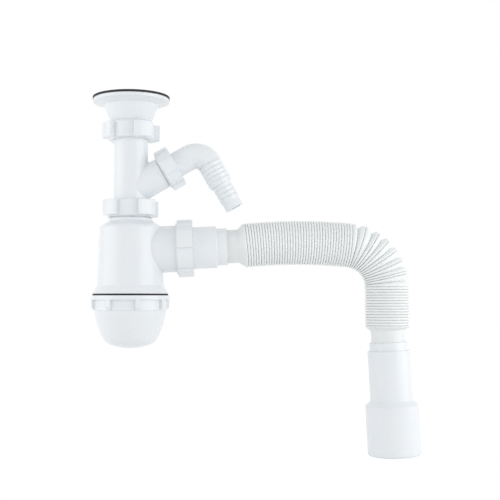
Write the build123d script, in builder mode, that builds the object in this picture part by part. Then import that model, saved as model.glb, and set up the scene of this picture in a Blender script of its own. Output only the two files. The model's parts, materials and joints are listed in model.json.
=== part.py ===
from build123d import *
from math import atan2, cos, degrees, radians, sin, tan
import os

# A sink bottle trap, in millimetres: the outlet under the sink, a tee with a hose elbow, a bottle
# with a screw cup, and a corrugated pipe that ends in a plain spigot for the waste.
# The origin is the middle of the top face of the sink gasket. +Z is up, and +X points from the
# bottle along the pipe. The threads are plain cylinders.

# Clearances
slip = 0.3  # on the radius, where a tube or a thread slides or turns
grip = 0.1  # on the radius, inside a rubber ring and round a snapped-in cuff

# Sink gasket and outlet body
gasket_thickness = 2.0
gasket_overhang = 0.5  # radius that the gasket stands out past the flange
flange_radius = 36.0
flange_thickness = 3.1
flange_fall = 3.0  # height of the cone under the flange
funnel_radius = 25.9
funnel_depth = 15.9
outlet_wall = 2.2
hub_radius = 8.0
hub_depth = 6.0  # top of the hub below the flange
hub_height = 10.0
web_thickness = 2.4
web_count = 4

# Brass nut in the hub, for the screw of the sink's grid
insert_flats = 10.0
insert_height = 6.0
insert_bore = 2.5

# Union nuts: four lugs round a core, a lip at the closed end
lug_count = 4
recess_angle = 50.6
lug_chamfer = 0.5
lug_rounding = 0.7
nut_ring = 1.2  # plain ring at the open end
nut_rebate = 0.6  # radius that the plain ring stands back from the core
nut_lip = 3.0
nut_core_wall = 2.4  # core wall outside the thread

# Nuts of the upper and the inlet union
tube_nut_length = 15.7
tube_nut_lug = 6.0  # height of a lug above the core
upper_nut_turn = -129.5
inlet_nut_turn = 68.0

# Tee and dip tube
tube_radius = 16.0
tube_wall = 2.0
spigot_rim = 0.7  # wall outside a washer's seat, on the outlet's spigot and the bottle's neck
spigot_show = 0.8  # thread left bare above the upper nut
socket_depth = 10.0  # tube above the end of the outlet's spigot
socket_room = 0.5
branch_drop = 49.1  # from the upper nut to where the branch axis meets the tube
branch_rise = 30.0  # degrees above the horizontal
branch_radius = 14.85
branch_wall = 2.4
branch_reach = 41.2
branch_fillet = 1.5
relief_depth = 0.9
relief_width = 1.0
branch_gap = 1.39  # tube left bare between the branch and the inlet nut
dip_clearance = 28.0  # from the end of the dip tube to the floor of the cup

# Tapered washers on the tube, and their seats in the spigots
washer_disc = 2.0
washer_cone = 3.0
seat_flare = 2.0
seat_depth = 4.0

# Hose elbow on the branch
flat_washer = 2.0
elbow_collar = 3.0
elbow_radius = 12.1
elbow_wall = 2.4
elbow_bend = 14.3  # centre line
elbow_lead = 13.8  # from the lip of the branch nut to the start of the bend
branch_nut_length = 14.3
branch_nut_lug = 2.8
branch_nut_turn = 23.0
tail_shoulder = 1.6
tail_bore = 6.8
upper_barb_radius = 11.7
upper_barb_count = 5
upper_barb_pitch = 4.3
lower_barb_radius = 9.6
lower_barb_count = 4
lower_barb_pitch = 4.6
barb_height = 0.9
barb_crest = 0.4
tail_tip = 7.2  # plain end of the hose tail

# Bottle
neck_show = 3.8  # from the inlet nut down to the dome's foot
neck_ring = 2.4  # height of the ring on the dome's foot
neck_rise = 1.8  # radius of that ring outside the thread
dome_slope = 31.0
shoulder_fillet = 4.0
bottle_height = 60.4  # from the dome's foot to the flare of the flange
bottle_radius = 31.3
bottle_taper = 2.1  # radius lost from the flare up to the shoulder
bottle_wall = 2.4
bottle_flare = 7.2
bottle_flange_rise = 4.0  # radius of the flange outside the bottle
bottle_flange_edge = 0.7
skirt_length = 12.0  # male thread inside the cup

# Side outlet of the bottle and its union
outlet_drop = 27.7  # from the dome's foot to where the outlet's axis meets the bottle's
outlet_rise = 2.4  # degrees above the horizontal
side_wall = 3.6
outlet_reach = 50.8
outlet_collar = 3.5
collar_rise = 2.2  # radius of the collar outside the connector
outlet_nut_length = 15.9
outlet_nut_lug = 2.4
outlet_nut_turn = -52.0

# Cup under the bottle
cup_gasket_thickness = 1.6
cup_gasket_width = 3.9
cup_rim_rise = 2.9  # radius of the rim and the ribs outside the panel
cup_rim_height = 4.0
cup_wall = 2.4
cup_thread_depth = 14.0
cup_step = 0.4
rib_count = 8
rib_width = 4.6
rib_turn = -74.3
bowl_side_radius = 76.0
bowl_side_lean = 6.2
bowl_side_turn = 20.0
bowl_corner_radius = 13.0
bowl_corner_turn = 42.0

# Connectors at the two ends of the corrugated pipe
connector_wall = 2.1
connector_length = 22.4  # from the outlet nut to the ring
connector_rounding = 1.2
ring_wall = 1.7
ring_length = 9.5
ring_seat = 2.5  # depth of the ring's inner shoulder
end_ring_wall = 1.9
end_ring_length = 7.9
end_tube_length = 46.5
end_shoulder = 4.2
end_spigot_rise = 5.0  # radius of the spigot outside the tube
end_spigot_length = 45.8
end_lean = 2.75
end_chamfer = 1.0

# Corrugated pipe
cuff_radius = 15.7
cuff_wall = 1.3
cuff_show = 10.4
end_cuff_show = 11.0
bead_rise = 1.2
bead_lead = 1.5  # length of the bead's cone
bead_crest = 0.9
bead_back = 0.6
bead_room = 0.8  # on the radius, round the bead
flare_length = 8.0
end_flare_length = 3.4
ridge_radius = 21.0
fold_depth = 2.2
fold_wall = 1.6
fold_pitch = 2.485
run_folds = 39
run_rise = 5.6  # the run climbs and falls again by this angle
drop_folds = 14
drop_pitch = 2.58
bend_radius = 39.4
inner_fold_depth = 1.0
open_fold_depth = 5.0
closed_fold_angle = 2.6  # between two ridges that stay closed on the outside of the bend
fold_skew = 0.43  # place of a group of ridges between its open folds
# Open folds on the outside of the bend, in degrees from its top, each with the ridges after it
open_folds = ((12, 2), (27, 2), (37.5, 2), (49, 2), (60.5, 2), (70.5, 3), (84, 1))
ring_batch = 12  # rings that one loft goes through


def facing(origin, direction, start=(1, 0, 0)):
    """Plane at the origin that looks along direction, with angles counted from start."""
    return Plane(origin=origin, x_dir=start, z_dir=direction)


def half_section(face):
    """Plane through the axis of a face: x is the radius, y the distance along the axis."""
    return Plane(origin=face.origin, x_dir=face.x_dir, z_dir=-face.y_dir)


def axis_of(face):
    return Axis(face.origin, face.z_dir)


def flat_ring(face, inner_radius, outer_radius, thickness):
    """Flat washer that stands on a face."""
    with BuildPart() as ring:
        with BuildSketch(face):
            Circle(outer_radius)
            Circle(inner_radius, mode=Mode.SUBTRACT)
        extrude(amount=thickness)
    return ring


def tapered_washer(face):
    """Washer on the tube: a disc on the lip of the nut and a cone in the seat of the spigot."""
    cone_foot = seat_bore + seat_flare - slip
    cone_top = cone_foot - seat_flare * washer_cone / seat_depth
    with BuildPart() as washer:
        with BuildSketch(half_section(face)):
            Polygon(
                (tube_radius + grip, 0),
                (spigot_radius, 0),
                (spigot_radius, washer_disc),
                (cone_foot, washer_disc),
                (cone_top, washer_disc + washer_cone),
                (tube_radius + grip, washer_disc + washer_cone),
                align=None,
            )
        revolve(axis=axis_of(face))
    return washer


def union_nut(lip_face, length, thread_radius, lug_height, lip_radius, turn):
    """Nut that starts at its lip and opens along the face's direction."""
    core_radius = thread_radius + nut_core_wall
    lug_radius = core_radius + lug_height
    ring_edge = core_radius - nut_rebate
    with BuildPart() as nut:
        with BuildSketch(half_section(lip_face)):
            Polygon(
                (lip_radius, 0),
                (lug_radius - lug_chamfer, 0),
                (lug_radius, lug_chamfer),
                (lug_radius, length - nut_ring - lug_chamfer),
                (lug_radius - lug_chamfer, length - nut_ring),
                (ring_edge, length - nut_ring),
                (ring_edge, length),
                (thread_radius, length),
                (thread_radius, nut_lip),
                (lip_radius, nut_lip),
                align=None,
            )
        revolve(axis=axis_of(lip_face))
        with BuildSketch(lip_face):
            for k in range(lug_count):
                start = turn + 360 * k / lug_count
                with BuildLine():
                    floor = CenterArc((0, 0), core_radius, start, recess_angle)
                    brim = CenterArc((0, 0), lug_radius + lug_height, start, recess_angle)
                    Line(floor @ 0, brim @ 0)
                    Line(floor @ 1, brim @ 1)
                make_face()
        extrude(amount=length, mode=Mode.SUBTRACT)
        axis = axis_of(lip_face)
        corners = nut.edges().filter_by(axis)
        corners = corners.filter_by(lambda edge: distance(edge, axis) > core_radius + lug_height / 2)
        fillet(corners, min(lug_rounding, lug_height / 3))
    return nut


def distance(edge, axis):
    """Distance of an edge's middle from an axis."""
    offset = edge.center() - axis.position
    return (offset - axis.direction * offset.dot(axis.direction)).length


# Levels along the upright axis, from the sink down
flange_top = -gasket_thickness
flange_under = flange_top - flange_thickness
funnel_top = flange_under - flange_fall
funnel_end = funnel_top - funnel_depth
upper_nut_top = funnel_end - spigot_show
upper_nut_lip = upper_nut_top - tube_nut_length
upper_seat = upper_nut_lip + nut_lip
spigot_end = upper_seat + washer_disc
tee_top = spigot_end + socket_depth
socket_top = tee_top + socket_room
branch_level = upper_nut_lip - branch_drop
branch_foot = tube_radius * tan(radians(branch_rise)) - branch_radius / cos(radians(branch_rise))
inlet_nut_lip = branch_level + branch_foot - branch_gap
inlet_seat = inlet_nut_lip - nut_lip
neck_top = inlet_seat - washer_disc
dome_foot = inlet_nut_lip - tube_nut_length - neck_show
outlet_level = dome_foot - outlet_drop
flare_top = dome_foot - bottle_height
flange_level = flare_top - bottle_flare - bottle_flange_edge
skirt_end = flange_level - skirt_length
cup_rim = flange_level - cup_gasket_thickness
cup_thread_end = cup_rim - cup_thread_depth

# Radii that fit one another
gasket_radius = flange_radius + gasket_overhang
seat_bore = tube_radius + slip
tube_bore = tube_radius - tube_wall
spigot_radius = seat_bore + seat_flare + spigot_rim
tube_thread = spigot_radius + slip
shoulder_radius = bottle_radius - bottle_taper
bottle_flange_radius = bottle_radius + bottle_flange_rise
skirt_radius = bottle_radius
cup_thread = skirt_radius + slip
cup_gasket_radius = cup_thread + cup_gasket_width
panel_radius = cup_thread + cup_wall
cup_rim_radius = panel_radius + cup_rim_rise
branch_thread = branch_radius + slip
elbow_passage = elbow_radius + slip
cuff_bore = cuff_radius - cuff_wall
cuff_socket = cuff_radius + grip
ring_radius = cuff_socket + ring_wall
end_ring_radius = cuff_socket + end_ring_wall
connector_bore = cuff_radius + bead_rise + bead_room
connector_radius = connector_bore + connector_wall
connector_passage = connector_radius + slip
end_spigot_radius = connector_radius + end_spigot_rise
outlet_radius = connector_radius + collar_rise
outlet_bore = outlet_radius - side_wall
outlet_thread = outlet_radius + slip

upright = facing((0, 0, 0), (0, 0, 1))

sink_gasket = flat_ring(
    facing((0, 0, flange_top), (0, 0, 1)),
    funnel_radius - outlet_wall,
    gasket_radius,
    gasket_thickness,
)

# Inside of the outlet body, with the web and the hub left standing
with BuildPart() as outlet_cavity:
    with BuildSketch(half_section(upright)):
        Polygon(
            (0, flange_top),
            (funnel_radius - outlet_wall, flange_top),
            (funnel_radius - outlet_wall, funnel_top),
            (tube_bore, funnel_end),
            (tube_bore, socket_top),
            (seat_bore, socket_top),
            (seat_bore, spigot_end + seat_depth),
            (seat_bore + seat_flare, spigot_end),
            (0, spigot_end),
            align=None,
        )
    revolve(axis=Axis.Z)
    with BuildSketch(Plane.XY.offset(flange_top - hub_depth)):
        Circle(hub_radius)
        with PolarLocations(0, web_count):
            Rectangle(funnel_radius, web_thickness, align=(Align.MIN, Align.CENTER))
    extrude(amount=-hub_height, mode=Mode.SUBTRACT)

with BuildPart() as outlet_body:
    with BuildSketch(half_section(upright)):
        Polygon(
            (0, flange_top),
            (flange_radius, flange_top),
            (flange_radius, flange_under),
            (funnel_radius, funnel_top),
            (spigot_radius, funnel_end),
            (spigot_radius, spigot_end),
            (0, spigot_end),
            align=None,
        )
    revolve(axis=Axis.Z)
    add(outlet_cavity.part, mode=Mode.SUBTRACT)
    with BuildSketch(Plane.XY.offset(flange_top - hub_depth)):
        RegularPolygon(insert_flats / 2, 6, major_radius=False)
    extrude(amount=-insert_height, mode=Mode.SUBTRACT)
    with BuildSketch(Plane.XY.offset(flange_top - hub_depth)):
        Circle(insert_bore + slip)
    extrude(amount=-hub_height, mode=Mode.SUBTRACT)

with BuildPart() as screw_insert:
    with BuildSketch(Plane.XY.offset(flange_top - hub_depth)):
        RegularPolygon(insert_flats / 2, 6, major_radius=False)
        Circle(insert_bore, mode=Mode.SUBTRACT)
    extrude(amount=-insert_height)

upper_nut = union_nut(
    facing((0, 0, upper_nut_lip), (0, 0, 1)),
    tube_nut_length,
    tube_thread,
    tube_nut_lug,
    seat_bore,
    upper_nut_turn,
)
upper_washer = tapered_washer(facing((0, 0, upper_seat), (0, 0, 1)))

# Bowl of the cup: three tangent arcs from the thread down to the middle of the floor
bowl_radius = panel_radius - cup_step
side_end_lean = bowl_side_lean + bowl_side_turn
corner_end_lean = side_end_lean + bowl_corner_turn


def bowl_outline(inset):
    """Closed half outline of the bowl, set in from its outside by a wall."""
    lean = radians(bowl_side_lean)
    rim = Vector(bowl_radius - inset * cos(lean), cup_thread_end + inset * sin(lean))
    side = JernArc(rim, (-sin(lean), -cos(lean)), bowl_side_radius - inset, -bowl_side_turn)
    corner = JernArc(side @ 1, side % 1, bowl_corner_radius - inset, -bowl_corner_turn)
    floor_radius = (corner @ 1).X / cos(radians(corner_end_lean))
    floor = JernArc(corner @ 1, corner % 1, floor_radius, corner_end_lean - 90)
    Polyline(floor @ 1, (0, rim.Y), rim)
    return floor @ 1


with BuildPart() as bowl_cavity:
    with BuildSketch(half_section(upright)):
        with BuildLine():
            bowl_floor = bowl_outline(cup_wall)
        make_face()
    revolve(axis=Axis.Z)

dip_end = bowl_floor.Y + dip_clearance
branch_direction = (cos(radians(branch_rise)), 0, sin(radians(branch_rise)))
branch_face = facing((0, 0, branch_level), branch_direction, (0, 1, 0))
branch_axis = axis_of(branch_face)
branch_nut_end = branch_reach + flat_washer + elbow_collar + nut_lip
branch_nut_start = branch_nut_end - branch_nut_length

with BuildPart() as tee_tube:
    with BuildSketch(Plane.XY.offset(dip_end)):
        Circle(tube_radius)
    extrude(amount=tee_top - dip_end)
    with BuildSketch(branch_face):
        Circle(branch_radius)
    extrude(amount=branch_reach)
    crotch = tee_tube.edges().filter_by(GeomType.CIRCLE, reverse=True)
    fillet(crotch.filter_by(GeomType.LINE, reverse=True), branch_fillet)
    with BuildSketch(Plane.XY.offset(dip_end)):
        Circle(tube_bore)
    extrude(amount=tee_top - dip_end, mode=Mode.SUBTRACT)
    with BuildSketch(branch_face):
        Circle(branch_radius - branch_wall)
    extrude(amount=branch_reach, mode=Mode.SUBTRACT)
    with BuildSketch(branch_face.offset(branch_nut_start - relief_width)):
        Circle(branch_radius + slip)
        Circle(branch_radius - relief_depth, mode=Mode.SUBTRACT)
    extrude(amount=relief_width, mode=Mode.SUBTRACT)

branch_washer = flat_ring(
    branch_face.offset(branch_reach), branch_radius - branch_wall, branch_radius, flat_washer
)
branch_nut = union_nut(
    facing(branch_face.offset(branch_nut_end).origin, -branch_face.z_dir, (0, -1, 0)),
    branch_nut_length,
    branch_thread,
    branch_nut_lug,
    elbow_passage,
    branch_nut_turn,
)

# Elbow: straight out of the branch, a right-angled bend down, then the barbed hose tail
collar_start = branch_reach + flat_washer
bend_start = branch_nut_end + elbow_lead
bend_face = branch_face.offset(bend_start)
bend_axis = Axis(bend_face.origin - bend_face.y_dir * elbow_bend, bend_face.x_dir)
tail_face = facing(
    bend_axis.position + bend_face.z_dir * elbow_bend, -bend_face.y_dir, (0, 1, 0)
)
upper_barb_end = tail_shoulder + upper_barb_count * upper_barb_pitch
lower_barb_end = upper_barb_end + lower_barb_count * lower_barb_pitch
tail_end = lower_barb_end + tail_tip


def barb_points(start, count, pitch, radius):
    """Saw-tooth outline of barbs that face the elbow."""
    points = []
    for k in range(count):
        top = start + k * pitch
        points += [
            (radius - barb_height, top),
            (radius, top),
            (radius, top + barb_crest),
            (radius - barb_height, top + pitch),
        ]
    return points


with BuildPart() as hose_elbow:
    with BuildSketch(half_section(branch_face)):
        Polygon(
            (0, collar_start),
            (branch_radius, collar_start),
            (branch_radius, collar_start + elbow_collar),
            (elbow_radius, collar_start + elbow_collar),
            (elbow_radius, bend_start),
            (0, bend_start),
            align=None,
        )
    revolve(axis=branch_axis)
    with BuildSketch(bend_face):
        Circle(elbow_radius)
    revolve(axis=bend_axis, revolution_arc=90)
    with BuildSketch(half_section(tail_face)):
        Polygon(
            (0, 0),
            (elbow_radius - barb_height, 0),
            (elbow_radius - barb_height, tail_shoulder),
            *barb_points(tail_shoulder, upper_barb_count, upper_barb_pitch, upper_barb_radius),
            *barb_points(upper_barb_end, lower_barb_count, lower_barb_pitch, lower_barb_radius),
            (lower_barb_radius - barb_height, tail_end),
            (0, tail_end),
            align=None,
        )
    revolve(axis=axis_of(tail_face))
    with BuildSketch(branch_face.offset(collar_start)):
        Circle(elbow_radius - elbow_wall)
    extrude(amount=bend_start - collar_start, mode=Mode.SUBTRACT)
    with BuildSketch(bend_face):
        Circle(elbow_radius - elbow_wall)
    revolve(axis=bend_axis, revolution_arc=90, mode=Mode.SUBTRACT)
    with BuildSketch(tail_face):
        Circle(tail_bore)
    extrude(amount=tail_end, mode=Mode.SUBTRACT)

inlet_nut = union_nut(
    facing((0, 0, inlet_nut_lip), (0, 0, -1)),
    tube_nut_length,
    tube_thread,
    tube_nut_lug,
    seat_bore,
    inlet_nut_turn,
)
inlet_washer = tapered_washer(facing((0, 0, inlet_seat), (0, 0, -1)))

# Bottle: turned body with a domed top, a side outlet and a threaded skirt for the cup
dome_radius = spigot_radius + neck_rise
dome_fall = tan(radians(dome_slope))
shoulder_level = dome_foot - (shoulder_radius - dome_radius) * dome_fall
ceiling = dome_foot - bottle_wall / cos(radians(dome_slope))
bottle_bore = bottle_radius - bottle_wall
inner_shoulder = shoulder_radius - bottle_wall
outlet_direction = (cos(radians(outlet_rise)), 0, sin(radians(outlet_rise)))
outlet_face = facing((0, 0, outlet_level), outlet_direction, (0, -1, 0))
outlet_axis = axis_of(outlet_face)

with BuildPart() as bottle_body:
    with BuildSketch(half_section(upright)):
        Polygon(
            (0, neck_top),
            (spigot_radius, neck_top),
            (spigot_radius, dome_foot + neck_ring),
            (dome_radius, dome_foot + neck_ring),
            (dome_radius, dome_foot),
            (shoulder_radius, shoulder_level),
            (bottle_radius, flare_top),
            (bottle_flange_radius, flange_level + bottle_flange_edge),
            (bottle_flange_radius, flange_level),
            (skirt_radius, flange_level),
            (skirt_radius, skirt_end),
            (0, skirt_end),
            align=None,
        )
    revolve(axis=Axis.Z)
    shoulder = bottle_body.edges().filter_by_position(
        Axis.Z, shoulder_level - slip, shoulder_level + slip
    )
    fillet(shoulder.filter_by(GeomType.CIRCLE), shoulder_fillet)
    with BuildSketch(outlet_face):
        Circle(outlet_radius)
    extrude(amount=outlet_reach)
    with BuildSketch(half_section(upright)):
        Polygon(
            (0, neck_top),
            (seat_bore + seat_flare, neck_top),
            (seat_bore, neck_top - seat_depth),
            (seat_bore, ceiling + (dome_radius - seat_bore) * dome_fall),
            (inner_shoulder, ceiling - (inner_shoulder - dome_radius) * dome_fall),
            (bottle_bore, flare_top),
            (bottle_bore, skirt_end),
            (0, skirt_end),
            align=None,
        )
    revolve(axis=Axis.Z, mode=Mode.SUBTRACT)
    with BuildSketch(outlet_face):
        Circle(outlet_bore)
    extrude(amount=outlet_reach, mode=Mode.SUBTRACT)

cup_gasket = flat_ring(
    facing((0, 0, cup_rim), (0, 0, 1)), cup_thread, cup_gasket_radius, cup_gasket_thickness
)

with BuildPart() as bottle_cup:
    with BuildSketch(half_section(upright)):
        Polygon(
            (0, cup_rim),
            (cup_rim_radius, cup_rim),
            (cup_rim_radius, cup_rim - cup_rim_height),
            (panel_radius, cup_rim - cup_rim_height),
            (panel_radius, cup_thread_end),
            (0, cup_thread_end),
            align=None,
        )
    revolve(axis=Axis.Z)
    with BuildSketch(half_section(upright)):
        with BuildLine():
            bowl_outline(0)
        make_face()
    revolve(axis=Axis.Z)
    for k in range(rib_count):
        rib_face = Plane.XZ.rotated((0, 0, rib_turn + 360 * k / rib_count))
        with BuildSketch(rib_face):
            Polygon(
                (panel_radius - cup_wall / 2, cup_rim - cup_rim_height),
                (cup_rim_radius, cup_rim - cup_rim_height),
                (cup_rim_radius, cup_thread_end + cup_rim_rise),
                (panel_radius, cup_thread_end),
                (panel_radius - cup_wall / 2, cup_thread_end),
                align=None,
            )
        extrude(amount=rib_width / 2, both=True)
    with BuildSketch(Plane.XY.offset(cup_rim)):
        Circle(cup_thread)
    extrude(amount=-cup_thread_depth, mode=Mode.SUBTRACT)
    add(bowl_cavity.part, mode=Mode.SUBTRACT)

# Union of the side outlet: flat washer, collar of the connector, nut
outlet_collar_start = outlet_reach + flat_washer
outlet_nut_end = outlet_collar_start + outlet_collar + nut_lip
connector_end = outlet_nut_end + connector_length
ring_end = connector_end + ring_length

outlet_washer = flat_ring(
    outlet_face.offset(outlet_reach), outlet_bore, outlet_radius, flat_washer
)
outlet_nut = union_nut(
    facing(outlet_face.offset(outlet_nut_end).origin, -outlet_face.z_dir, (0, -1, 0)),
    outlet_nut_length,
    outlet_thread,
    outlet_nut_lug,
    connector_passage,
    outlet_nut_turn,
)

with BuildPart() as pipe_connector:
    with BuildSketch(half_section(outlet_face)):
        Polygon(
            (connector_bore, outlet_collar_start),
            (outlet_radius, outlet_collar_start),
            (outlet_radius, outlet_collar_start + outlet_collar),
            (connector_radius, outlet_collar_start + outlet_collar),
            (connector_radius, connector_end),
            (ring_radius, connector_end),
            (ring_radius, ring_end),
            (cuff_socket, ring_end),
            (cuff_socket, connector_end - ring_seat),
            (connector_bore, connector_end - ring_seat),
            align=None,
        )
    revolve(axis=outlet_axis)
    rim = pipe_connector.edges().filter_by(GeomType.CIRCLE)
    rim = rim.filter_by(lambda edge: edge.radius > (connector_radius + ring_radius) / 2)
    fillet(rim.sort_by(Axis.X)[-1], connector_rounding)

# Rings of the corrugated pipe in order: x, z, heading in degrees, outside radius and wall
pipe_rings = []
valley_radius = ridge_radius - fold_depth
bead_length = bead_lead + bead_crest + bead_back


def along(x, z, heading, length):
    """Point at a length from x, z in a heading."""
    return x + length * cos(radians(heading)), z + length * sin(radians(heading))


def cuff(x, z, heading, bead_first):
    """Rings of a plain cuff with its snap bead, from the point x, z along the heading."""
    profile = [
        (0, cuff_radius),
        (bead_lead, cuff_radius + bead_rise),
        (bead_lead + bead_crest, cuff_radius + bead_rise),
        (bead_length, cuff_radius),
    ]
    if not bead_first:
        profile = [(bead_length - step, radius) for step, radius in reversed(profile)]
    for step, radius in profile:
        pipe_rings.append((*along(x, z, heading, step), heading, radius, radius - cuff_bore))


cuff_start = connector_end - ring_seat - grip - bead_length
cuff(*along(0, outlet_level, outlet_rise, cuff_start), outlet_rise, True)
cuff_end = along(0, outlet_level, outlet_rise, ring_end + cuff_show)
pipe_rings.append((*cuff_end, outlet_rise, cuff_radius, cuff_wall))
flare_end = along(*cuff_end, run_rise, flare_length - fold_pitch / 2)
pipe_rings.append((*flare_end, run_rise, ridge_radius, fold_wall))

# Long run: an arc that climbs and falls, with a ridge at every second ring
run_x, run_z = along(*cuff_end, run_rise, flare_length)
run_arc = run_folds * fold_pitch / radians(2 * run_rise)
for k in range(2 * run_folds + 1):
    heading = run_rise * (1 - k / run_folds)
    x = run_x + run_arc * (sin(radians(run_rise)) - sin(radians(heading)))
    z = run_z + run_arc * (cos(radians(heading)) - cos(radians(run_rise)))
    radius = ridge_radius if k % 2 else valley_radius
    pipe_rings.append((x, z, heading, radius, fold_wall))

# Bend: even folds on the inside, groups of closed ridges between open folds on the outside
bend_x, bend_z = along(x, z, -run_rise - 90, bend_radius)
bend_in = bend_radius - ridge_radius
bend_out = bend_radius + ridge_radius
fold_angles = [((run_rise + open_folds[0][0]) / 2, 0)]
for (valley, ridges), (following, _) in zip(open_folds, (*open_folds[1:], (90, 0))):
    fold_angles.append((valley, open_fold_depth))
    middle = valley + fold_skew * (following - valley)
    for k in range(2 * ridges - 1):
        angle = middle + closed_fold_angle * (k / 2 - (ridges - 1) / 2)
        fold_angles.append((angle, fold_depth if k % 2 else 0))
for k, (angle, depth) in enumerate(fold_angles):
    outer_angle = radians(angle)
    inner_angle = radians(run_rise + (90 - run_rise) * (k + 1) / (len(fold_angles) + 1))
    inner_reach = bend_in + (inner_fold_depth if depth else 0)
    inner = Vector(sin(inner_angle), cos(inner_angle)) * inner_reach
    outer = Vector(sin(outer_angle), cos(outer_angle)) * (bend_out - depth)
    middle = (inner + outer) / 2
    across = outer - inner
    heading = degrees(atan2(-across.X, across.Y))
    ring_center = (bend_x + middle.X, bend_z + middle.Y)
    pipe_rings.append((*ring_center, heading, across.length / 2, fold_wall))

# Drop: straight down from the end of the bend, then a flare and a leaning cuff
drop_x = bend_x + bend_radius
for k in range(2 * drop_folds + 1):
    radius = ridge_radius if k % 2 else valley_radius
    pipe_rings.append((drop_x, bend_z - k * drop_pitch / 2, -90, radius, fold_wall))
drop_end = bend_z - (drop_folds + 0.5) * drop_pitch
pipe_rings.append((drop_x, drop_end, -90, ridge_radius, fold_wall))
end_heading = end_lean - 90
end_cuff = along(drop_x, drop_end, end_heading, end_flare_length)
pipe_rings.append((*end_cuff, end_heading, cuff_radius, cuff_wall))
end_ring = along(*end_cuff, end_heading, end_cuff_show)
end_seat = along(*end_ring, end_heading, end_ring_length + ring_seat + grip)
cuff(*end_seat, end_heading, False)


def pipe_plane(x, z, heading):
    return facing((x, 0, z), (cos(radians(heading)), 0, sin(radians(heading))), (0, 1, 0))


def ring_batches():
    """The rings in short batches that share their end rings, one loft each."""
    for first in range(0, len(pipe_rings) - 1, ring_batch):
        yield pipe_rings[first : first + ring_batch + 1]


with BuildPart() as pipe_bore:
    for batch in ring_batches():
        for x, z, heading, radius, wall in batch:
            with BuildSketch(pipe_plane(x, z, heading)):
                Circle(radius - wall)
        loft(ruled=True, clean=False)

with BuildPart() as corrugated_pipe:
    for batch in ring_batches():
        for x, z, heading, radius, wall in batch:
            with BuildSketch(pipe_plane(x, z, heading)):
                Circle(radius)
        loft(ruled=True, clean=False)
    add(pipe_bore.part, mode=Mode.SUBTRACT, clean=False)

end_face = pipe_plane(*end_ring, end_heading)
end_tube_end = end_ring_length + end_tube_length
end_spigot_start = end_tube_end + end_shoulder
end_length = end_spigot_start + end_spigot_length
end_spigot_bore = end_spigot_radius - connector_wall

with BuildPart() as end_connector:
    with BuildSketch(half_section(end_face)):
        Polygon(
            (cuff_socket, 0),
            (end_ring_radius, 0),
            (end_ring_radius, end_ring_length),
            (connector_radius, end_ring_length),
            (connector_radius, end_tube_end),
            (end_spigot_radius, end_spigot_start),
            (end_spigot_radius, end_length - end_chamfer),
            (end_spigot_radius - end_chamfer, end_length),
            (end_spigot_bore, end_length),
            (end_spigot_bore, end_spigot_start),
            (connector_bore, end_tube_end),
            (connector_bore, end_ring_length + ring_seat),
            (cuff_socket, end_ring_length + ring_seat),
            align=None,
        )
    revolve(axis=axis_of(end_face))

os.makedirs("parts", exist_ok=True)
pieces = {
    "sink_gasket": sink_gasket,
    "outlet_body": outlet_body,
    "screw_insert": screw_insert,
    "upper_nut": upper_nut,
    "upper_washer": upper_washer,
    "tee_tube": tee_tube,
    "branch_nut": branch_nut,
    "branch_washer": branch_washer,
    "hose_elbow": hose_elbow,
    "inlet_nut": inlet_nut,
    "inlet_washer": inlet_washer,
    "bottle_body": bottle_body,
    "cup_gasket": cup_gasket,
    "bottle_cup": bottle_cup,
    "outlet_nut": outlet_nut,
    "outlet_washer": outlet_washer,
    "pipe_connector": pipe_connector,
    "corrugated_pipe": corrugated_pipe,
    "end_connector": end_connector,
}
for label, piece in pieces.items():
    piece.part.label = label
    export_step(piece.part, f"parts/{label}.step")
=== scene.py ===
import json
from math import atan2, cos, degrees, pi, radians, sin

import bpy
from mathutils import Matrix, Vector


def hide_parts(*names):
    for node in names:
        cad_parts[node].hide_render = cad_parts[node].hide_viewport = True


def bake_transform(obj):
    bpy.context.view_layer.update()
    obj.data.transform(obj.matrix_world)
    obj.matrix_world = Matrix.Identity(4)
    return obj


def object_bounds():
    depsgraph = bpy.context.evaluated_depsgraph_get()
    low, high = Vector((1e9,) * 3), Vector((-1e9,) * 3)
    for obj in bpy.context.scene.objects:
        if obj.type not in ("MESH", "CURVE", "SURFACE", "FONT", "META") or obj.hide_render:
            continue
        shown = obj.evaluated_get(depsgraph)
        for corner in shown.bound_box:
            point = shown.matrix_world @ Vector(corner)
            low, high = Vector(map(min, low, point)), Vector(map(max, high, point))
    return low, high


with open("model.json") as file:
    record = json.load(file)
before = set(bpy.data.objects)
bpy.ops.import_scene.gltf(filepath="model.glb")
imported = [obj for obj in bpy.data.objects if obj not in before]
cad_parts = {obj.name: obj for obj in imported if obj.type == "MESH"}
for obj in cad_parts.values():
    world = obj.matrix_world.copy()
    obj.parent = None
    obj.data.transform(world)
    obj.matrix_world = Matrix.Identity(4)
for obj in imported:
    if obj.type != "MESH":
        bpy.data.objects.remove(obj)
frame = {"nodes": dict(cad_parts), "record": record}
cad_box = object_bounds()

# Dressing of the sink bottle trap: satin white plastic, black rubber, a brass nut, and the
# corrugated pipe as a mesh with round folds that bends between its two ends.
# Sizes of the camera and the pipe are in millimetres, all others in metres. Angles are in degrees.
MM = 0.001

# Camera: about level with the middle of the trap, tilted up a little
CAMERA_PLACE = (75.0, -870.0, -191.0)
CAMERA_TILT = 3.0
CAMERA_LENS = 66.4
CAMERA_SENSOR = 36
CAMERA_SHIFT = 0.08  # share of the picture's width

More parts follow.
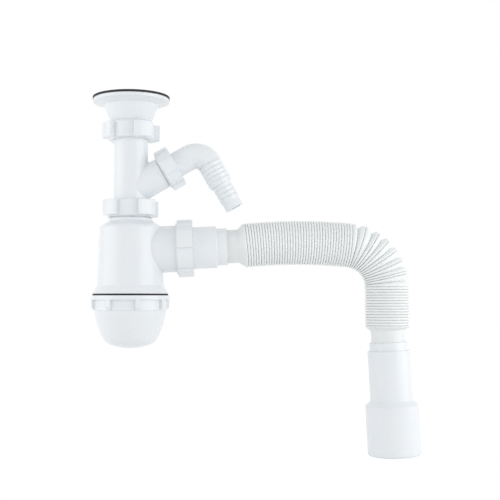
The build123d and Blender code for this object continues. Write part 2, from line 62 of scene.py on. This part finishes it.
# Corrugated pipe, with the values of the part's source
OUTLET_LEVEL = -146.1
OUTLET_RISE = 2.4
PIPE_START = 76.1  # along the outlet's axis, as is the cuff's end
CUFF_END = 101.6
CUFF_RADIUS = 15.7
CUFF_WALL = 1.3
BEAD_RISE = 1.2
BEAD_STEPS = (0, 1.5, 2.4, 3.0)  # start of the bead, its crest from and to, its end
FLARE_LENGTH = 8.0
END_FLARE_LENGTH = 3.4
END_CUFF_SHOW = 11.0
END_SEAT = 10.5  # from the end connector's face to the snap bead
END_LEAN = 2.75
RIDGE_RADIUS = 21.0
FOLD_DEPTH = 2.2
FOLD_WALL = 1.6
FOLD_PITCH = 2.485
RUN_FOLDS = 39
RUN_RISE = 5.6  # the run climbs and falls again by this angle
DROP_FOLDS = 14
DROP_PITCH = 2.58
BEND_RADIUS = 39.4
OPEN_FOLD_DEPTH = 5.0
CLOSED_FOLD_ANGLE = 2.6  # between two ridges that stay closed on the outside of the bend
FOLD_SKEW = 0.43  # place of a group of ridges between its open folds
# Open folds on the outside of the bend, in degrees from its top, each with the ridges after it
OPEN_FOLDS = ((12, 2), (27, 2), (37.5, 2), (49, 2), (60.5, 2), (70.5, 3), (84, 1))

# Mesh of the pipe, with rounder folds than in the part's source
INNER_FOLD_DEPTH = 2.4  # deeper than in the part's source, where these folds have flat walls
PIPE_SEGMENTS = 80
FOLD_STEPS = 4  # rings from a groove up to a ridge
FOLD_FULLNESS = 1.2  # 1 is a quarter circle, more has a wider groove
CUFF_STRIPS = 5  # rows of faces on a plain cuff and its flare
CREASE_ANGLE = 50.0
# A ring of the pipe is x, z, heading, outside radius, wall, roundness. The roundness is 0 on the
# cuffs, on the flares and in the open grooves, and 1 elsewhere. The sum of the two rings of a wall
# says which bulge it has.
RADIUS = 3
ROUNDNESS = 5
BULGES = (0, 0.75, 1)  # a plain wall, one at a flare or an open groove, one in a closed fold


def along(x, z, heading, length):
    """Point at a length from x, z in a heading."""
    return x + length * cos(radians(heading)), z + length * sin(radians(heading))


def cuff_rings(x, z, heading, turned):
    """Rings of a plain cuff with its snap bead."""
    radii = [CUFF_RADIUS, CUFF_RADIUS + BEAD_RISE, CUFF_RADIUS + BEAD_RISE, CUFF_RADIUS]
    steps = list(BEAD_STEPS)
    if turned:
        steps = [BEAD_STEPS[-1] - step for step in reversed(BEAD_STEPS)]
    bore = CUFF_RADIUS - CUFF_WALL
    return [(*along(x, z, heading, step), heading, r, r - bore, 0) for step, r in zip(steps, radii)]


def bend_folds():
    """Angle from the bend's top, depth and roundness of each ridge and groove on its outside."""
    folds = [((RUN_RISE + OPEN_FOLDS[0][0]) / 2, 0, 1)]
    for (valley, ridges), (following, _) in zip(OPEN_FOLDS, (*OPEN_FOLDS[1:], (90, 0))):
        folds.append((valley, OPEN_FOLD_DEPTH, 0))
        middle = valley + FOLD_SKEW * (following - valley)
        for k in range(2 * ridges - 1):
            angle = middle + CLOSED_FOLD_ANGLE * (k / 2 - (ridges - 1) / 2)
            folds.append((angle, FOLD_DEPTH if k % 2 else 0, 1))
    return folds


def pipe_rings():
    """The pipe's ridges and grooves in order, from the bottle to the end connector."""
    groove_radius = RIDGE_RADIUS - FOLD_DEPTH
    start = along(0, OUTLET_LEVEL, OUTLET_RISE, PIPE_START)
    rings = cuff_rings(*start, OUTLET_RISE, False)
    cuff_end = along(0, OUTLET_LEVEL, OUTLET_RISE, CUFF_END)
    rings.append((*cuff_end, OUTLET_RISE, CUFF_RADIUS, CUFF_WALL, 0))
    flare_end = along(*cuff_end, RUN_RISE, FLARE_LENGTH - FOLD_PITCH / 2)
    rings.append((*flare_end, RUN_RISE, RIDGE_RADIUS, FOLD_WALL, 0))

    # Long run: an arc that climbs and falls, with a ridge at every second ring
    run_x, run_z = along(*cuff_end, RUN_RISE, FLARE_LENGTH)
    run_arc = RUN_FOLDS * FOLD_PITCH / radians(2 * RUN_RISE)
    for k in range(2 * RUN_FOLDS + 1):
        heading = RUN_RISE * (1 - k / RUN_FOLDS)
        x = run_x + run_arc * (sin(radians(RUN_RISE)) - sin(radians(heading)))
        z = run_z + run_arc * (cos(radians(heading)) - cos(radians(RUN_RISE)))
        rings.append((x, z, heading, RIDGE_RADIUS if k % 2 else groove_radius, FOLD_WALL, 1))

    # Bend: even folds on the inside, groups of closed ridges between open folds on the outside
    bend_x, bend_z = along(x, z, -RUN_RISE - 90, BEND_RADIUS)
    folds = bend_folds()
    for k, (angle, depth, roundness) in enumerate(folds):
        outer_angle = radians(angle)
        inner_angle = radians(RUN_RISE + (90 - RUN_RISE) * (k + 1) / (len(folds) + 1))
        inner_reach = BEND_RADIUS - RIDGE_RADIUS + (INNER_FOLD_DEPTH if depth else 0)
        outer_reach = BEND_RADIUS + RIDGE_RADIUS - depth
        inner = Vector((sin(inner_angle), cos(inner_angle))) * inner_reach
        outer = Vector((sin(outer_angle), cos(outer_angle))) * outer_reach
        middle = (inner + outer) / 2
        across = outer - inner
        heading = degrees(atan2(-across.x, across.y))
        radius = across.length / 2
        rings.append((bend_x + middle.x, bend_z + middle.y, heading, radius, FOLD_WALL, roundness))

    # Drop: straight down from the end of the bend, then a flare and a leaning cuff
    drop_x = bend_x + BEND_RADIUS
    for k in range(2 * DROP_FOLDS + 1):
        radius = RIDGE_RADIUS if k % 2 else groove_radius
        rings.append((drop_x, bend_z - k * DROP_PITCH / 2, -90, radius, FOLD_WALL, 1))
    drop_end = (drop_x, bend_z - (DROP_FOLDS + 0.5) * DROP_PITCH)
    rings.append((*drop_end, -90, RIDGE_RADIUS, FOLD_WALL, 0))
    heading = END_LEAN - 90
    end_cuff = along(*drop_end, heading, END_FLARE_LENGTH)
    rings.append((*end_cuff, heading, CUFF_RADIUS, CUFF_WALL, 0))
    end_seat = along(*end_cuff, heading, END_CUFF_SHOW + END_SEAT)
    rings += cuff_rings(*end_seat, heading, True)
    return rings


def between(first, second, share, rise):
    """Ring at a share of the way between two rings, with its radius at a share of theirs."""
    x, z, heading = (a + (b - a) * share for a, b in zip(first[:RADIUS], second[:RADIUS]))
    return x, z, heading, first[RADIUS] + (second[RADIUS] - first[RADIUS]) * rise


def rounded(rings):
    """Outside rings: round ridges with sharp grooves, and flatter walls where a fold is open."""
    outline = []
    for first, second in zip(rings, rings[1:]):
        bulge = BULGES[first[ROUNDNESS] + second[ROUNDNESS]]
        steps = FOLD_STEPS if bulge else 1
        rising = second[RADIUS] > first[RADIUS]
        for k in range(steps):
            even = k / steps
            turn = pi / 2 * even
            if rising:
                share, rise = 1 - cos(turn), sin(turn) ** FOLD_FULLNESS
            else:
                share, rise = sin(turn), 1 - cos(turn) ** FOLD_FULLNESS
            share = even + bulge * (share - even)
            rise = even + bulge * (rise - even)
            outline.append(between(first, second, share, rise))
    outline.append(rings[-1][:RADIUS + 1])
    return outline


def ring_points(x, z, heading, radius):
    """Points of a circle round a heading in the XZ plane, in metres."""
    across = Vector((-sin(radians(heading)), 0, cos(radians(heading))))
    side = Vector((0, 1, 0))
    centre = Vector((x, 0, z))
    for k in range(PIPE_SEGMENTS):
        turn = 2 * pi * k / PIPE_SEGMENTS
        yield (centre + (across * cos(turn) + side * sin(turn)) * radius) * MM


def mesh_object(name, points, faces):
    """Smooth mesh, put in the scene."""
    mesh = bpy.data.meshes.new(name)
    mesh.from_pydata([tuple(point) for point in points], [], faces)
    mesh.validate()
    mesh.shade_smooth()
    piece = bpy.data.objects.new(name, mesh)
    bpy.context.scene.collection.objects.link(piece)
    return piece


def closed_tube(name, loops):
    """Mesh through rings of points that goes out along the tube and back inside it."""
    points = [point for loop in loops for point in loop]
    faces = []
    count = PIPE_SEGMENTS
    for k in range(len(loops)):
        here, following = k * count, (k + 1) % len(loops) * count
        for j in range(count):
            step = (j + 1) % count
            faces.append((here + j, following + j, following + step, here + step))
    return mesh_object(name, points, faces)


def corrugated_pipe():
    """The pipe in two copies of one plastic: its folds painted lighter, and its cuffs with their
    flares painted darker as shade.
    """
    rings = pipe_rings()
    inside = [(x, z, heading, radius - wall) for x, z, heading, radius, wall, _ in reversed(rings)]
    outline = rounded(rings)
    loops = [list(ring_points(*ring)) for ring in outline + inside]
    pipe = closed_tube("corrugated_pipe_folds", loops)
    pipe.data.set_sharp_from_angle(angle=radians(CREASE_ANGLE))
    pipe.data.materials.append(pipe_plastic)
    pipe.data.materials.append(shaded_cuff_plastic)
    strips = len(outline) - 1
    for face in pipe.data.polygons:
        strip = face.index // PIPE_SEGMENTS
        # Cuffs and flares take the darker copy of the plastic, painted shade
        if strip < CUFF_STRIPS or strips - CUFF_STRIPS <= strip < strips:
            face.material_index = 1
    return pipe


# Materials. Scales of noise are in waves a metre.

DRIFT_SCALE = 35
DRIFT_DETAIL = 3
SKIN_DETAIL = 4
NOISE_LOW = 0.3  # most of a noise lies between these two
NOISE_HIGH = 0.7
EDGE_ROUNDING = 0.0005
EDGE_SAMPLES = 6
WHITE = (1, 1, 1, 1)


def new_material(name, colour, roughness):
    """Material of one colour and roughness, with its nodes, links and shader."""
    material = bpy.data.materials.new(name)
    material.use_nodes = True
    nodes = material.node_tree.nodes
    shader = nodes["Principled BSDF"]
    shader.inputs["Base Color"].default_value = (*colour, 1)
    shader.inputs["Roughness"].default_value = roughness
    return material, nodes, material.node_tree.links, shader


def noise(nodes, links, scale, detail):
    """Noise in the part's own frame."""
    place = nodes.new("ShaderNodeTexCoord")
    texture = nodes.new("ShaderNodeTexNoise")
    texture.inputs["Scale"].default_value = scale
    texture.inputs["Detail"].default_value = detail
    links.new(place.outputs["Object"], texture.inputs["Vector"])
    return texture.outputs["Fac"]


def spread(nodes, links, value, low, high):
    """The middle of a noise stretched over a range."""
    ramp = nodes.new("ShaderNodeMapRange")
    ramp.inputs["From Min"].default_value = NOISE_LOW
    ramp.inputs["From Max"].default_value = NOISE_HIGH
    ramp.inputs["To Min"].default_value = low
    ramp.inputs["To Max"].default_value = high
    links.new(value, ramp.inputs["Value"])
    return ramp.outputs["Result"]


def mottle(nodes, links, shader, value, colour, other):
    """Base colour that drifts between two colours."""
    mix = nodes.new("ShaderNodeMix")
    mix.data_type = "RGBA"
    mix.inputs["A"].default_value = (*colour, 1)
    mix.inputs["B"].default_value = (*other, 1)
    links.new(spread(nodes, links, value, 0, 1), mix.inputs["Factor"])
    links.new(mix.outputs["Result"], shader.inputs["Base Color"])


def bumped(nodes, links, shader, value, height):
    """Surface that rises and falls with a noise."""
    bump = nodes.new("ShaderNodeBump")
    bump.inputs["Distance"].default_value = height
    links.new(value, bump.inputs["Height"])
    links.new(bump.outputs["Normal"], shader.inputs["Normal"])
    return bump


def soft_edges(nodes, links, bump):
    """Sharp edges that catch the light as if they were rounded."""
    edge = nodes.new("ShaderNodeBevel")
    edge.samples = EDGE_SAMPLES
    edge.inputs["Radius"].default_value = EDGE_ROUNDING
    links.new(edge.outputs["Normal"], bump.inputs["Normal"])


def moulded(name, colours, roughness, grain, height, soft=True, specular=0.5, metallic=0):
    """Material with a slow drift between two colours, and a fine skin that varies in gloss."""
    material, nodes, links, shader = new_material(name, colours[0], sum(roughness) / 2)
    drift = noise(nodes, links, DRIFT_SCALE, DRIFT_DETAIL)
    mottle(nodes, links, shader, drift, *colours)
    skin = noise(nodes, links, grain, SKIN_DETAIL)
    links.new(spread(nodes, links, skin, *roughness), shader.inputs["Roughness"])
    bump = bumped(nodes, links, shader, skin, height)
    if soft:
        soft_edges(nodes, links, bump)
    shader.inputs["Specular IOR Level"].default_value = specular
    shader.inputs["Metallic"].default_value = metallic
    return material


white_plastic = moulded(
    "white_plastic",
    colours=((0.853, 0.885, 0.912), (0.835, 0.87, 0.9)),
    roughness=(0.2, 0.27),
    grain=700,
    height=0.00001,
)
# The folds' copy of the pipe plastic, painted lighter to stand in for light lost in the grooves
pipe_plastic = moulded(
    "pipe_plastic",
    colours=((0.915, 0.937, 0.938), (0.9, 0.923, 0.926)),
    roughness=(0.34, 0.44),
    grain=500,
    height=0.00001,
    soft=False,
)
# Darker copy of the same pipe plastic for the cuffs and flares: painted shade
shaded_cuff_plastic = moulded(
    "shaded_cuff_plastic",
    colours=((0.845, 0.87, 0.875), (0.83, 0.857, 0.863)),
    roughness=(0.34, 0.44),
    grain=500,
    height=0.00001,
    soft=False,
)
black_rubber = moulded(
    "black_rubber",
    colours=((0.018, 0.018, 0.02), (0.03, 0.03, 0.032)),
    roughness=(0.55, 0.7),
    grain=1500,
    height=0.00006,
    specular=0.3,
)
brass = moulded(
    "brass",
    colours=((0.72, 0.54, 0.26), (0.66, 0.47, 0.2)),
    roughness=(0.22, 0.38),
    grain=1200,
    height=0.00003,
    metallic=1,
)
finishes = {
    "white_plastic": white_plastic,
    "pipe_plastic": pipe_plastic,
    "black_rubber": black_rubber,
    "brass": brass,
}

for subpart in frame["record"]["subparts"]:
    node = frame["nodes"][subpart["node"]]
    for place in node.material_slots:
        place.material = finishes[subpart["material_slot"]]

pipe = corrugated_pipe()
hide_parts("corrugated_pipe")
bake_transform(pipe)

# Backdrop, floor, light and camera

AMBIENT = 0.735  # strength of the white all round that lights the part
BACKDROP = 1  # strength of the white that a look past the part sees
FLOOR_SIZE = 8.0
FLOOR_COLOUR = (0.95, 0.95, 0.95)
FLOOR_ROUGHNESS = 0.9
FLOOR_GLOW = 1.04
FLOOR_GLOW_SHARE = 0.92  # of what a look at the floor sees, the rest is its shading


def seen_directly(nodes, links):
    """1 for camera, glossy and transmission rays, 0 for light on the object."""
    path = nodes.new("ShaderNodeLightPath")
    total = path.outputs["Is Camera Ray"]
    for name in ("Is Glossy Ray", "Is Transmission Ray"):
        join = nodes.new("ShaderNodeMath")
        join.operation = "MAXIMUM"
        links.new(total, join.inputs[0])
        links.new(path.outputs[name], join.inputs[1])
        total = join.outputs["Value"]
    return total


def mixed(nodes, links, share, first, second, output):
    """Output that shows the second shader by a share, and the first by the rest."""
    choice = nodes.new("ShaderNodeMixShader")
    links.new(share, choice.inputs["Fac"])
    links.new(first, choice.inputs[1])
    links.new(second, choice.inputs[2])
    links.new(choice.outputs["Shader"], nodes[output].inputs["Surface"])


world = bpy.data.worlds.new("studio")
bpy.context.scene.world = world
world.use_nodes = True
nodes, links = world.node_tree.nodes, world.node_tree.links
backgrounds = (nodes["Background"], nodes.new("ShaderNodeBackground"))
for background, strength in zip(backgrounds, (AMBIENT, BACKDROP)):
    background.inputs["Color"].default_value = WHITE
    background.inputs["Strength"].default_value = strength
ambient, backdrop = (background.outputs["Background"] for background in backgrounds)
mixed(nodes, links, seen_directly(nodes, links), ambient, backdrop, "World Output")

floor_material, nodes, links, shader = new_material("floor", FLOOR_COLOUR, FLOOR_ROUGHNESS)
glow = nodes.new("ShaderNodeEmission")
glow.inputs["Strength"].default_value = FLOOR_GLOW
share = nodes.new("ShaderNodeMath")
share.operation = "MULTIPLY"
share.inputs[1].default_value = FLOOR_GLOW_SHARE
links.new(seen_directly(nodes, links), share.inputs[0])
glow_share = share.outputs["Value"]
mixed(nodes, links, glow_share, shader.outputs["BSDF"], glow.outputs["Emission"], "Material Output")
half = FLOOR_SIZE / 2
level = cad_box[0][2]
corners = [(-half, -half, level), (half, -half, level), (half, half, level), (-half, half, level)]
floor = mesh_object("floor", corners, [(0, 1, 2, 3)])
floor.data.materials.append(floor_material)


def softbox(name, place, target, width, height, power):
    """Rectangular light that faces a target."""
    light = bpy.data.lights.new(name, "AREA")
    light.shape = "RECTANGLE"
    light.size = width
    light.size_y = height
    light.energy = power
    lamp = bpy.data.objects.new(name, light)
    bpy.context.scene.collection.objects.link(lamp)
    lamp.location = place
    lamp.rotation_euler = (Vector(target) - Vector(place)).to_track_quat("-Z", "Y").to_euler()


softbox(
    "left_softbox",
    place=(-0.86, -0.26, -0.12),
    target=(0, 0, -0.17),
    width=0.95,
    height=0.9,
    power=3.1,
)
softbox(
    "right_softbox",
    place=(0.99, -0.4, -0.18),
    target=(0.24, 0, -0.22),
    width=1.0,
    height=0.9,
    power=4.3,
)

camera_data = bpy.data.cameras.new("camera")
camera_data.lens = CAMERA_LENS
camera_data.sensor_width = CAMERA_SENSOR
camera_data.shift_x = CAMERA_SHIFT
camera = bpy.data.objects.new("camera", camera_data)
camera.location = Vector(CAMERA_PLACE) * MM
camera.rotation_euler = (radians(90 + CAMERA_TILT), 0, 0)
bpy.context.scene.collection.objects.link(camera)
bpy.context.scene.camera = camera
bpy.context.scene.view_settings.view_transform = "Standard"
